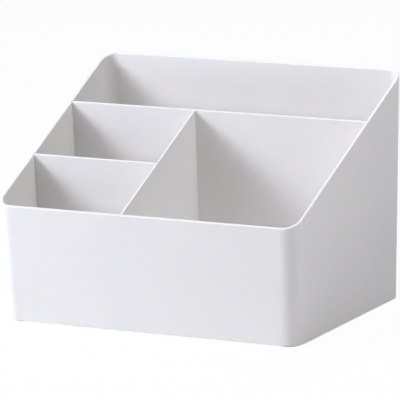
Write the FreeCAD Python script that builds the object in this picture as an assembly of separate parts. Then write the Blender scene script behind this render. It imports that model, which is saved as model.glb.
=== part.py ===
import FreeCAD, Part
import math
import os

# Desktop storage box: a slant-topped white moulding, three lift-out dividers and four non-slip feet.
# Millimetres, +Z up, +X to the right and +Y to the rear, as seen from the low front wall.
# The origin is the middle of the overall footprint, on the surface that the box stands on.

# Overall sizes
WIDTH = 250.0               # outside, at the height of the rear rim
DEPTH = 175.0               # outside, from the front rim to the rear rim
REAR_HEIGHT = 170.0         # top of the rear wall above the desk
FRONT_HEIGHT = 86.0         # top of the front wall above the desk
DRAFT_ANGLE = 1.6           # degrees by which each wall leans outwards as it rises

# Shell
WALL = 2.5                  # thickness of the four walls
FLOOR = 2.4                 # thickness of the floor
CORNER_RADIUS = 12.0        # outside of the upright corners
FLOOR_FILLET = 3.0          # inside, where the floor meets the walls
BASE_EDGE_RADIUS = 0.6      # outside, where the underside meets the walls
RIM_EDGE_RADIUS = 0.8       # inner and outer edge of the slanted rim
GATE_DIAMETER = 6.0         # dimple in the underside where the mould was filled
GATE_DEPTH = 0.5

# Dividers and the bays between them, clear inside sizes at the rim
DIVIDER = 1.7               # thickness of each divider
DIVIDER_EDGE_RADIUS = 0.4   # edges of a divider's slanted top
REAR_BAY_DEPTH = 55.5       # from the rear wall to the rear divider
FRONT_BAY_DEPTH = 53.5      # from the front wall to the short divider
LEFT_BAY_WIDTH = 103.5      # from the left wall to the lengthwise divider, at the rear wall's height

# Grooves that the dividers slide down into
WALL_GROOVE = 1.0           # depth in the walls
DIVIDER_GROOVE = 0.7        # depth in a neighbouring divider
FLOOR_GROOVE = 0.6          # depth in the floor
SIDE_CLEARANCE = 0.1        # on each face of a divider
END_CLEARANCE = 0.15        # at each upright edge of a divider

# Feet
FOOT_DIAMETER = 18.5
FOOT_STANDOFF = 1.0         # gap between the desk and the underside
FOOT_SEAT_DEPTH = 0.8       # how far a foot is sunk into the underside
FOOT_SEAT_CLEARANCE = 0.15  # round a foot, in its seat
FOOT_EDGE_RADIUS = 0.4      # lower edge of a foot
FOOT_INSET = 12.0           # from the outer edges of the base to the middle of a foot

# Sizes that follow from those above
DRAFT = math.tan(math.radians(DRAFT_ANGLE))
RIM_SLOPE = (REAR_HEIGHT - FRONT_HEIGHT) / DEPTH
BASE_Z = FOOT_STANDOFF
FLOOR_Z = BASE_Z + FLOOR
GROOVE_Z = FLOOR_Z - FLOOR_GROOVE
BLOCK_TOP = REAR_HEIGHT + WALL
REAR_DIVIDER_Y = DEPTH / 2 - WALL - REAR_BAY_DEPTH - DIVIDER / 2
SHORT_DIVIDER_Y = -DEPTH / 2 + WALL + FRONT_BAY_DEPTH + DIVIDER / 2
LENGTHWISE_DIVIDER_X = -WIDTH / 2 + WALL + LEFT_BAY_WIDTH + DIVIDER / 2
SAME_PLACE = 1e-4           # points closer than this lie on the same plane


def rim_z(y):
    """Height of the slanted rim plane."""
    return FRONT_HEIGHT + RIM_SLOPE * (y + DEPTH / 2)


def right_x(z, inset):
    """Right wall's face at a height, moved in from the outside by an inset."""
    return WIDTH / 2 - DRAFT * (REAR_HEIGHT - z) - inset


def front_y(z, inset):
    """Front wall's face at a height, moved in from the outside by an inset."""
    return -DEPTH / 2 + DRAFT * (FRONT_HEIGHT - z) + inset


def rear_y(z, inset):
    """Rear wall's face at a height, moved in from the outside by an inset."""
    return DEPTH / 2 - DRAFT * (REAR_HEIGHT - z) - inset


def drafted_block(inset, bottom, top):
    """Round-cornered solid inside the leaning walls, moved in from the outside by an inset."""
    low_x = right_x(bottom, inset)
    high_x = right_x(top, inset)
    low_front = front_y(bottom, inset)
    high_front = front_y(top, inset)
    low_rear = rear_y(bottom, inset)
    high_rear = rear_y(top, inset)
    block = Part.makeWedge(
        -low_x, bottom, -low_rear, -high_rear, -high_x,
        low_x, top, -low_front, -high_front, high_x,
    )
    block.rotate(FreeCAD.Vector(0, 0, 0), FreeCAD.Vector(1, 0, 0), 90)
    upright = []
    for edge in block.Edges:
        if edge.BoundBox.ZLength > (top - bottom) / 2:
            upright.append(edge)
    return block.makeFillet(CORNER_RADIUS - inset, upright)


def box_between(low, high):
    """Plain box from its lowest to its highest corner."""
    size = high.sub(low)
    return Part.makeBox(size.x, size.y, size.z, low)


def above_rim():
    """Everything over the slanted rim plane."""
    outline = []
    for y, z in [(-DEPTH, rim_z(-DEPTH)), (DEPTH, rim_z(DEPTH)), (DEPTH, 2 * rim_z(DEPTH))]:
        outline.append(FreeCAD.Vector(-WIDTH, y, z))
    outline.append(FreeCAD.Vector(-WIDTH, -DEPTH, 2 * rim_z(DEPTH)))
    outline.append(outline[0])
    return Part.Face(Part.makePolygon(outline)).extrude(FreeCAD.Vector(2 * WIDTH, 0, 0))


def edges_on(shape, height_at):
    """Edges of a shape whose ends and middle lie at the height that a function of y gives."""
    found = []
    for edge in shape.Edges:
        if all(abs(point.z - height_at(point.y)) < SAME_PLACE for point in edge.discretize(3)):
            found.append(edge)
    return found


def rear_divider_block(side, end):
    """Rear divider across the whole width, widened by side room and shortened by end room."""
    half = DIVIDER / 2 + side
    low = FreeCAD.Vector(-WIDTH, REAR_DIVIDER_Y - half, GROOVE_Z)
    high = FreeCAD.Vector(WIDTH, REAR_DIVIDER_Y + half, BLOCK_TOP)
    inside = drafted_block(WALL - WALL_GROOVE + end, GROOVE_Z, BLOCK_TOP)
    return inside.common(box_between(low, high)).cut(above_rim())


def lengthwise_divider_block(side, end):
    """Lengthwise divider from the front wall back into the rear divider's groove."""
    half = DIVIDER / 2 + side
    groove_end = REAR_DIVIDER_Y - DIVIDER / 2 + DIVIDER_GROOVE - end
    low = FreeCAD.Vector(LENGTHWISE_DIVIDER_X - half, -DEPTH, GROOVE_Z)
    high = FreeCAD.Vector(LENGTHWISE_DIVIDER_X + half, groove_end, BLOCK_TOP)
    inside = drafted_block(WALL - WALL_GROOVE + end, GROOVE_Z, BLOCK_TOP)
    return inside.common(box_between(low, high)).cut(above_rim())


def short_divider_block(side, end):
    """Short divider from the left wall into the lengthwise divider's groove."""
    half = DIVIDER / 2 + side
    groove_end = LENGTHWISE_DIVIDER_X - DIVIDER / 2 + DIVIDER_GROOVE - end
    low = FreeCAD.Vector(-WIDTH, SHORT_DIVIDER_Y - half, GROOVE_Z)
    high = FreeCAD.Vector(groove_end, SHORT_DIVIDER_Y + half, BLOCK_TOP)
    inside = drafted_block(WALL - WALL_GROOVE + end, GROOVE_Z, BLOCK_TOP)
    return inside.common(box_between(low, high)).cut(above_rim())


def round_top(divider):
    """Eases the edges of a divider's slanted top."""
    return divider.makeFillet(DIVIDER_EDGE_RADIUS, edges_on(divider, rim_z))


def foot_places():
    """Name and middle of each foot, under the four corners."""
    x = right_x(BASE_Z, FOOT_INSET)
    places = {}
    for end, y in [("front", front_y(BASE_Z, FOOT_INSET)), ("rear", rear_y(BASE_Z, FOOT_INSET))]:
        places[end + "_left_foot"] = (-x, y)
        places[end + "_right_foot"] = (x, y)
    return places


def make_foot(x, y):
    """Round pad from the desk up to the bottom of its seat."""
    height = FOOT_STANDOFF + FOOT_SEAT_DEPTH
    pad = Part.makeCylinder(FOOT_DIAMETER / 2, height, FreeCAD.Vector(x, y, 0))
    return pad.makeFillet(FOOT_EDGE_RADIUS, edges_on(pad, lambda y: 0))


def make_shell():
    """Walls and floor in one moulding, with the dividers' grooves and the feet's seats."""
    outside = drafted_block(0, BASE_Z, BLOCK_TOP)
    outside = outside.makeFillet(BASE_EDGE_RADIUS, edges_on(outside, lambda y: BASE_Z))
    hollow = drafted_block(WALL, FLOOR_Z, BLOCK_TOP + WALL)
    hollow = hollow.makeFillet(FLOOR_FILLET, edges_on(hollow, lambda y: FLOOR_Z))
    shell = outside.cut(hollow).cut(above_rim())
    shell = shell.makeFillet(RIM_EDGE_RADIUS, edges_on(shell, rim_z))
    shell = shell.cut(rear_divider_block(SIDE_CLEARANCE, 0))
    shell = shell.cut(lengthwise_divider_block(SIDE_CLEARANCE, 0))
    shell = shell.cut(short_divider_block(SIDE_CLEARANCE, 0))
    for x, y in foot_places().values():
        seat_radius = FOOT_DIAMETER / 2 + FOOT_SEAT_CLEARANCE
        shell = shell.cut(Part.makeCylinder(seat_radius, FOOT_SEAT_DEPTH, FreeCAD.Vector(x, y, BASE_Z)))
    return shell.cut(Part.makeCylinder(GATE_DIAMETER / 2, GATE_DEPTH, FreeCAD.Vector(0, 0, BASE_Z)))


pieces = {"box_shell": make_shell()}

rear_divider = round_top(rear_divider_block(0, END_CLEARANCE))
pieces["rear_divider"] = rear_divider.cut(lengthwise_divider_block(SIDE_CLEARANCE, 0))

lengthwise_divider = round_top(lengthwise_divider_block(0, END_CLEARANCE))
pieces["lengthwise_divider"] = lengthwise_divider.cut(short_divider_block(SIDE_CLEARANCE, 0))

pieces["short_divider"] = round_top(short_divider_block(0, END_CLEARANCE))

for name, (x, y) in foot_places().items():
    pieces[name] = make_foot(x, y)

os.makedirs("parts", exist_ok=True)
for name, piece in pieces.items():
    piece.exportStep("parts/" + name + ".step")
    box = piece.BoundBox
    print(name, "solids", len(piece.Solids), "valid", piece.isValid(), "mm3", round(piece.Volume, 1),
          "x", round(box.XMin, 2), round(box.XMax, 2), "y", round(box.YMin, 2), round(box.YMax, 2),
          "z", round(box.ZMin, 2), round(box.ZMax, 2))
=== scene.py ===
# %% [markdown]
# # A white desk storage box
# The object is a slant-topped box of white moulded plastic. Three thin dividers slide down into
# grooves in its walls, and four rubber pads under its corners keep it off the desk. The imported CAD
# model already holds every piece at its real size, so this lesson dresses those pieces, adds the
# small marks that moulding leaves, and lights the box as in a product photograph.

# %% Load the fixed frame
import math

import bmesh
import bpy
from mathutils import Matrix, Vector


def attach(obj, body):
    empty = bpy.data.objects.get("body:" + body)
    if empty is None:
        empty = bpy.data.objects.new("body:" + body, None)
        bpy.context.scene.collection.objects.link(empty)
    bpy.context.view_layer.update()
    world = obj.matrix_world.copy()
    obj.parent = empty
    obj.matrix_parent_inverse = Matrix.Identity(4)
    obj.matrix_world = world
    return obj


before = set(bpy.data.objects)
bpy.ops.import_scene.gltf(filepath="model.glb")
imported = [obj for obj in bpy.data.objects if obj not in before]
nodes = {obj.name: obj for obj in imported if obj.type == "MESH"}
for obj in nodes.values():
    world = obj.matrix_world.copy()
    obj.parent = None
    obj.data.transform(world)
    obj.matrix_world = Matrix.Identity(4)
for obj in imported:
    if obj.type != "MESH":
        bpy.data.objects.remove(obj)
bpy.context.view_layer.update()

MM = 0.001
scene = bpy.context.scene

# %% [markdown]
# ## The camera
# The box was photographed with a long lens, from the right of its front and a little above, so its
# upright edges stay nearly parallel. The camera could be dragged into place by eye. Here it circles a
# point inside the box instead: an azimuth, an elevation and a distance place it, and a small roll
# leans the picture as the photograph leans, so every number can be read and changed by itself. The
# lamps are placed further down by the same function.

# %% Places on a circle round the box
AIM = Vector((-0.7, 0.2, 81.0)) * MM


def looking_back(azimuth, elevation, distance, roll=0.0):
    """Place that looks at the box, in degrees and metres: azimuth 0 is in front, 90 to the right."""
    turn = math.radians(azimuth)
    rise = math.radians(elevation)
    outward = Vector((
        math.sin(turn) * math.cos(rise),
        -math.cos(turn) * math.cos(rise),
        math.sin(rise),
    ))
    return (
        Matrix.Translation(AIM + outward * distance)
        @ outward.to_track_quat("Z", "Y").to_matrix().to_4x4()
        @ Matrix.Rotation(math.radians(roll), 4, "Z")
    )


print("everything looks at, mm:", [round(v / MM, 1) for v in AIM])

# %% Camera at the photograph's viewing angle
LENS_MM = 389.4
SENSOR_MM = 36.0
FARTHEST_SEEN = 20.0        # metres, past the far edge of the paper

camera = bpy.data.objects.new("camera", bpy.data.cameras.new("camera"))
camera.data.lens = LENS_MM
camera.data.sensor_width = SENSOR_MM
camera.data.clip_end = FARTHEST_SEEN
camera.matrix_world = looking_back(azimuth=28.8, elevation=12.07, distance=3.1532, roll=-1.94)
scene.collection.objects.link(camera)
scene.camera = camera
print("camera at, m:", [round(v, 3) for v in camera.matrix_world.translation])

# %% [markdown]
# ## Colours and nodes
# Colours are written as the hex values that a screen shows, and one function turns them to the linear
# values that a shader needs. Another small function adds a shader node: the values that follow its
# kind fill its sockets in order, named values fill them by name, and a socket of another node is
# linked. With it, a material reads as a short list of what feeds what.

# %% Helpers for materials


def linear(hex_colour):
    """Linear RGBA of an sRGB hex colour."""
    channels = []
    for start in (1, 3, 5):
        value = int(hex_colour[start:start + 2], 16) / 255
        channels.append(value / 12.92 if value <= 0.04045 else ((value + 0.055) / 1.055) ** 2.4)
    return (*channels, 1.0)


def add_node(tree, kind, *in_order, settings=None, **by_name):
    """Adds a node with its settings, and sets or links its inputs in order and by name."""
    node = tree.nodes.new(kind)
    for name, value in (settings or {}).items():
        setattr(node, name, value)
    filled = [(node.inputs[place], value) for place, value in enumerate(in_order)]
    filled += [(node.inputs[name.replace("_", " ")], value) for name, value in by_name.items()]
    for socket, value in filled:
        if isinstance(value, bpy.types.NodeSocket):
            tree.links.new(value, socket)
        else:
            socket.default_value = value
    return node


def new_material(name):
    """Empty node material and its tree."""
    material = bpy.data.materials.new(name)
    material.use_nodes = True
    material.node_tree.nodes.clear()
    return material, material.node_tree


def dress(node_name, material):
    """Gives a CAD node's object a material and leaves its mesh alone."""
    slot = nodes[node_name].material_slots[0]
    slot.link = "OBJECT"
    slot.material = material
    print(node_name, "wears", slot.material.name)


print("mid grey #808080 is", round(linear("#808080")[0], 3), "in linear light")

# %% [markdown]
# ## White moulded polypropylene
# The shell and the dividers are polypropylene in a slightly warm white, moulded against a finely
# spark-eroded tool. The plastic is milky: some light goes a millimetre or two into it and comes out
# warmer, so shaded walls stay soft. Its surface is satin, with broad highlights and no mirror image. A
# plain white shader would look like paper, so four things are added. A fine grain from the tool
# roughens the surface. The gloss wanders a little over a few centimetres, where the melt cooled at its
# own pace. The white wanders by about one part in a hundred. And the rim, which hands and pens rub, is
# slightly polished: its distance from the slanted rim plane is a dot product of the Object
# coordinates, so the polish travels with each divider when it is lifted.

# %% Measures of the plastic's patterns
WHITES = ("#F2F0EE", "#F6F4F2")
PLASTIC_IOR = 1.49
GRAIN_MM = 0.8              # the real grain is nearer 0.1 mm, and is drawn coarser so that it shows
GRAIN_DEPTH_MM = 0.02
GRAIN_STRENGTH = 0.05
CLOUD_MM = 38.0             # patches of slightly different gloss and white
CLOUD_SPREAD = (0.3, 0.7)   # the range that the noise mostly keeps to
SATIN = (0.45, 0.53)        # roughness at the ends of that range
MILKINESS = 0.25            # share of the light that goes into the plastic
MILK_DEPTH_MM = 2.5
MILK_WARMTH = (1.0, 0.8, 0.6)   # red light goes deepest
RIM_POLISH = 0.1            # by how much the rubbed rim is smoother
RIM_POLISH_MM = 3.0         # depth of the rubbed band below the rim plane
RIM_FRONT_MM = 86.0         # height of the rim plane over the front edge
RIM_RISE = 84.0 / 175.0     # its rise per length towards the rear
FRONT_EDGE_MM = -87.5

rim_normal = Vector((0.0, -RIM_RISE, 1.0)).normalized()
rim_height = rim_normal.dot(Vector((0.0, FRONT_EDGE_MM, RIM_FRONT_MM))) * MM
print("rim plane is", round(rim_height / MM, 2), "mm from the origin,")
print("measured along", [round(v, 3) for v in rim_normal])

# %% Material of the shell and the dividers


def moulded_polypropylene():
    """White polypropylene from a finely textured mould."""
    material, tree = new_material("white_moulded_polypropylene")
    place = add_node(tree, "ShaderNodeTexCoord").outputs["Object"]
    grain = add_node(tree, "ShaderNodeTexNoise", Vector=place, Scale=1 / (GRAIN_MM * MM), Detail=2.0)
    cloud = add_node(tree, "ShaderNodeTexNoise", Vector=place, Scale=1 / (CLOUD_MM * MM), Detail=3.0)
    bump = add_node(
        tree, "ShaderNodeBump", Height=grain.outputs["Fac"], Strength=GRAIN_STRENGTH,
        Distance=GRAIN_DEPTH_MM * MM)
    towards_rim = add_node(
        tree, "ShaderNodeVectorMath", place, rim_normal, settings={"operation": "DOT_PRODUCT"})
    rubbed = add_node(
        tree, "ShaderNodeMapRange", towards_rim.outputs["Value"],
        rim_height - RIM_POLISH_MM * MM, rim_height, 0.0, RIM_POLISH)
    satin = add_node(tree, "ShaderNodeMapRange", cloud.outputs["Fac"], *CLOUD_SPREAD, *SATIN)
    gloss = add_node(
        tree, "ShaderNodeMath", satin.outputs["Result"], rubbed.outputs["Result"],
        settings={"operation": "SUBTRACT"})
    white = add_node(tree, "ShaderNodeValToRGB", cloud.outputs["Fac"])
    for end, tone in zip(white.color_ramp.elements, WHITES):
        end.color = linear(tone)
    surface = add_node(
        tree, "ShaderNodeBsdfPrincipled", Base_Color=white.outputs["Color"],
        Roughness=gloss.outputs["Value"], IOR=PLASTIC_IOR, Normal=bump.outputs["Normal"],
        Subsurface_Weight=MILKINESS, Subsurface_Radius=MILK_WARMTH, Subsurface_Scale=MILK_DEPTH_MM * MM)
    add_node(tree, "ShaderNodeOutputMaterial", Surface=surface.outputs["BSDF"])
    return material


plastic = moulded_polypropylene()
for name in ("box_shell", "rear_divider", "lengthwise_divider", "short_divider"):
    dress(name, plastic)

# %% [markdown]
# ## Silicone rubber feet
# The feet are punched pads of pale grey silicone rubber. Rubber is dull, because its skin is rough and
# scatters light, and it picks up fine dust, most of all on the face that stands on the desk. A second,
# paler tone in small specks gives that dust, and a soft bump gives the skin.

# %% Material of the feet
RUBBER_TONES = ("#C4C5C8", "#E2E0DC")   # clean and dusty
RUBBER_IOR = 1.41
SPECK_MM = 0.6
SKIN_DEPTH_MM = 0.03
SKIN_STRENGTH = 0.2
DUSTY_MM = 0.5              # height above the desk up to which the pads are dusty
DUST_SHARE = (0.9, 0.35)    # on the desk and above that height
DUST_SPREAD = (0.0, 0.6)
DULLNESS = (0.68, 0.86)     # roughness without and with dust


def silicone_rubber():
    """Pale grey silicone rubber, punched from sheet, with dust on its lower face."""
    material, tree = new_material("pale_silicone_rubber")
    place = add_node(tree, "ShaderNodeTexCoord").outputs["Object"]
    specks = add_node(tree, "ShaderNodeTexNoise", Vector=place, Scale=1 / (SPECK_MM * MM), Detail=4.0)
    height = add_node(tree, "ShaderNodeSeparateXYZ", place).outputs["Z"]
    low = add_node(tree, "ShaderNodeMapRange", height, 0.0, DUSTY_MM * MM, *DUST_SHARE)
    dust = add_node(
        tree, "ShaderNodeMath", specks.outputs["Fac"], low.outputs["Result"],
        settings={"operation": "MULTIPLY"})
    bump = add_node(
        tree, "ShaderNodeBump", Height=specks.outputs["Fac"], Strength=SKIN_STRENGTH,
        Distance=SKIN_DEPTH_MM * MM)
    skin = add_node(tree, "ShaderNodeMapRange", dust.outputs["Value"], *DUST_SPREAD, *DULLNESS)
    grey = add_node(tree, "ShaderNodeValToRGB", dust.outputs["Value"])
    for end, tone in zip(grey.color_ramp.elements, RUBBER_TONES):
        end.color = linear(tone)
    surface = add_node(
        tree, "ShaderNodeBsdfPrincipled", Base_Color=grey.outputs["Color"],
        Roughness=skin.outputs["Result"], IOR=RUBBER_IOR, Normal=bump.outputs["Normal"])
    add_node(tree, "ShaderNodeOutputMaterial", Surface=surface.outputs["BSDF"])
    return material


rubber = silicone_rubber()
for corner in ("front_left", "front_right", "rear_left", "rear_right"):
    dress(corner + "_foot", rubber)

# %% [markdown]
# ## Marks of the mould
# Pins push a moulding out of its tool, and each leaves a round witness mark on the floor of a bay: a
# flat disc that stands a tenth of a millimetre proud, with a soft edge. The marks could be painted
# with a bump, but real discs catch the light from every side. One bmesh holds them all: a circle is
# made for each pin, pushed up to a low disc, and its upper edge is bevelled.

# %% Ejector marks on the floors of the bays
BAY_FLOOR = 3.4 * MM
PIN_RADIUS = 2.5 * MM
PIN_SIDES = 32
PIN_PROUD = 0.1 * MM
PIN_SUNK = 0.3 * MM         # the disc starts inside the floor, so its lower face never shows
PIN_EDGE = 0.06 * MM
PIN_PLACES = [              # x and y in millimetres, one line for each bay
    (-80, 55), (0, 55), (80, 55),
    (-92, 0), (-45, 0),
    (-92, -57), (-45, -57),
    (16, -56), (82, -56), (16, 0), (82, 0),
]


def add_piece(name, shape, material, body):
    """Turns a bmesh into a piece that rides on a body and wears the given material."""
    bmesh.ops.recalc_face_normals(shape, faces=shape.faces)
    mesh = bpy.data.meshes.new(name)
    shape.to_mesh(mesh)
    shape.free()
    mesh.materials.append(material)
    piece = bpy.data.objects.new(name, mesh)
    scene.collection.objects.link(piece)
    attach(piece, body)
    print(name, "has", len(mesh.polygons), "faces")


shape = bmesh.new()
for x, y in PIN_PLACES:
    ring = bmesh.ops.create_circle(
        shape, cap_ends=True, segments=PIN_SIDES, radius=PIN_RADIUS,
        matrix=Matrix.Translation((x * MM, y * MM, BAY_FLOOR - PIN_SUNK)))
    lid = ring["verts"][0].link_faces[0]
    raised = bmesh.ops.extrude_face_region(shape, geom=[lid], use_keep_orig=True)["geom"]
    corners = [v for v in raised if isinstance(v, bmesh.types.BMVert)]
    bmesh.ops.translate(shape, verts=corners, vec=(0, 0, PIN_SUNK + PIN_PROUD))
    rim = [e for e in raised if isinstance(e, bmesh.types.BMEdge)]
    bmesh.ops.bevel(
        shape, geom=rim, offset=PIN_EDGE, segments=2, profile=0.5, affect="EDGES", material=-1)
add_piece("ejector_marks", shape, plastic, "shell")

# %% [markdown]
# ## The gate stub
# The melt entered the mould in the middle of the underside. When the runner was snapped off, it left a
# short stub, which stands in a dimple so that it can't scratch the desk. A narrow cone with a bevelled
# end gives its shape.

# %% Gate stub under the floor
DIMPLE_TOP = 1.5 * MM
STUB_BASE_RADIUS = 1.3 * MM
STUB_TIP_RADIUS = 0.8 * MM
STUB_SIDES = 24
STUB_HEIGHT = 0.35 * MM
STUB_SUNK = 0.1 * MM        # the stub starts inside the floor, as the discs do
STUB_EDGE = 0.1 * MM
SAME_HEIGHT = 1e-7          # metres, within which two corners count as level

shape = bmesh.new()
middle = DIMPLE_TOP + STUB_SUNK - (STUB_HEIGHT + STUB_SUNK) / 2
cone = bmesh.ops.create_cone(
    shape, cap_ends=True, segments=STUB_SIDES, radius1=STUB_TIP_RADIUS, radius2=STUB_BASE_RADIUS,
    depth=STUB_HEIGHT + STUB_SUNK, matrix=Matrix.Translation((0, 0, middle)))
lowest = min(v.co.z for v in cone["verts"])
tip = [e for e in shape.edges if all(abs(v.co.z - lowest) < SAME_HEIGHT for v in e.verts)]
bmesh.ops.bevel(
    shape, geom=tip, offset=STUB_EDGE, segments=3, profile=0.5, affect="EDGES", material=-1)
add_piece("gate_stub", shape, plastic, "shell")

# %% [markdown]
# ## The floor
# The box stands on seamless white paper that runs far back. Lit paper alone would come out grey, and
# more light would burn out the white box. So the paper is an ordinary matte white for the light that
# bounces, and for the camera, reflections and see-through rays it glows almost fully white, which
# keeps a faint shadow under the box.

# %% Sheet of paper
PAPER_SIZE = 12.0           # metres
PAPER_DROP = 0.02 * MM      # keeps the paper clear of the lower faces of the feet

shape = bmesh.new()
bmesh.ops.create_grid(
    shape, x_segments=1, y_segments=1, size=PAPER_SIZE / 2,
    matrix=Matrix.Translation((0, 0, -PAPER_DROP)))
floor_mesh = bpy.data.meshes.new("floor")
shape.to_mesh(floor_mesh)
shape.free()
floor = bpy.data.objects.new("floor", floor_mesh)
scene.collection.objects.link(floor)
print("floor is", PAPER_SIZE, "m across")

# %% Material of the paper
PAPER_WHITE = "#F4F4F4"
PAPER_GLOW = 0.96


def seen_directly(tree):
    """1 for rays from the camera, a reflection or a see-through surface, and 0 for bounced light."""
    rays = add_node(tree, "ShaderNodeLightPath").outputs
    total = rays["Is Camera Ray"]
    for other in ("Is Glossy Ray", "Is Transmission Ray"):
        both = add_node(
            tree, "ShaderNodeMath", total, rays[other],
            settings={"operation": "ADD", "use_clamp": True})
        total = both.outputs["Value"]
    return total


paper, tree = new_material("white_paper_floor")
share = add_node(
    tree, "ShaderNodeMath", seen_directly(tree), PAPER_GLOW, settings={"operation": "MULTIPLY"})
matte = add_node(tree, "ShaderNodeBsdfDiffuse", Color=linear(PAPER_WHITE))
glow = add_node(tree, "ShaderNodeEmission", Strength=1.0)
mix = add_node(
    tree, "ShaderNodeMixShader", share.outputs["Value"], matte.outputs["BSDF"],
    glow.outputs["Emission"])
add_node(tree, "ShaderNodeOutputMaterial", Surface=mix.outputs["Shader"])
floor_mesh.materials.append(paper)
print("floor wears", paper.name)

# %% [markdown]
# ## The light
# Four soft boxes light the box. The key stands low at the left front and draws the soft shadows that
# the left wall throws into the bays. One above it whitens the rim, and one behind lights the bays from
# the back. The fourth opens the shaded right wall. It is half as far away as the others, so that this
# wall darkens towards the desk, as in the photograph. All are slightly cool, as daylight is, against
# the slightly warm plastic: lit walls come out a clean white, and shaded ones, which see mostly other
# walls, a warmer grey. The surround itself is dark for bounced light and white where it is seen.

# %% Surround
SURROUND_LIGHT = 0.01

world = bpy.data.worlds.new("studio")
scene.world = world
world.use_nodes = True
tree = world.node_tree
tree.nodes.clear()
dark = add_node(tree, "ShaderNodeBackground", Color=(1, 1, 1, 1), Strength=SURROUND_LIGHT)
bright = add_node(tree, "ShaderNodeBackground", Color=(1, 1, 1, 1), Strength=1.0)
mix = add_node(
    tree, "ShaderNodeMixShader", seen_directly(tree), dark.outputs["Background"],
    bright.outputs["Background"])
add_node(tree, "ShaderNodeOutputWorld", Surface=mix.outputs["Shader"])
print("surround gives", SURROUND_LIGHT, "of its white as light")

# %% Soft boxes
SKYLIGHT = (0.89, 0.91, 1.0)
DAYLIGHT = (0.94, 0.95, 1.0)
FAR = 1.6                   # metres
NEAR = 0.8


def soft_box(name, place, width, height, power, colour):
    """Rectangular soft box at a place, with its sides in metres and its power in watts."""
    lamp = bpy.data.lights.new(name, "AREA")
    lamp.shape = "RECTANGLE"
    lamp.size = width
    lamp.size_y = height
    lamp.energy = power
    lamp.color = colour
    holder = bpy.data.objects.new(name, lamp)
    holder.matrix_world = place
    scene.collection.objects.link(holder)
    print(name, power, "W")


soft_box("key_soft_box", looking_back(311, 17, FAR), 0.6, 0.6, power=17.3, colour=SKYLIGHT)
soft_box("top_soft_box", looking_back(293, 60, FAR), 0.6, 0.6, power=9.6, colour=DAYLIGHT)
soft_box("fill_soft_box", looking_back(77, 43, NEAR), 0.55, 0.28, power=2.34, colour=DAYLIGHT)
soft_box("back_soft_box", looking_back(197, 54, FAR), 0.6, 0.6, power=6.4, colour=SKYLIGHT)

# %% [markdown]
# ## Colours on the screen
# Blender's usual view transform bends bright colours to look like film, which would grey the white
# box. The Standard one shows each colour as it is lit.

# %% View transform
scene.view_settings.view_transform = "Standard"
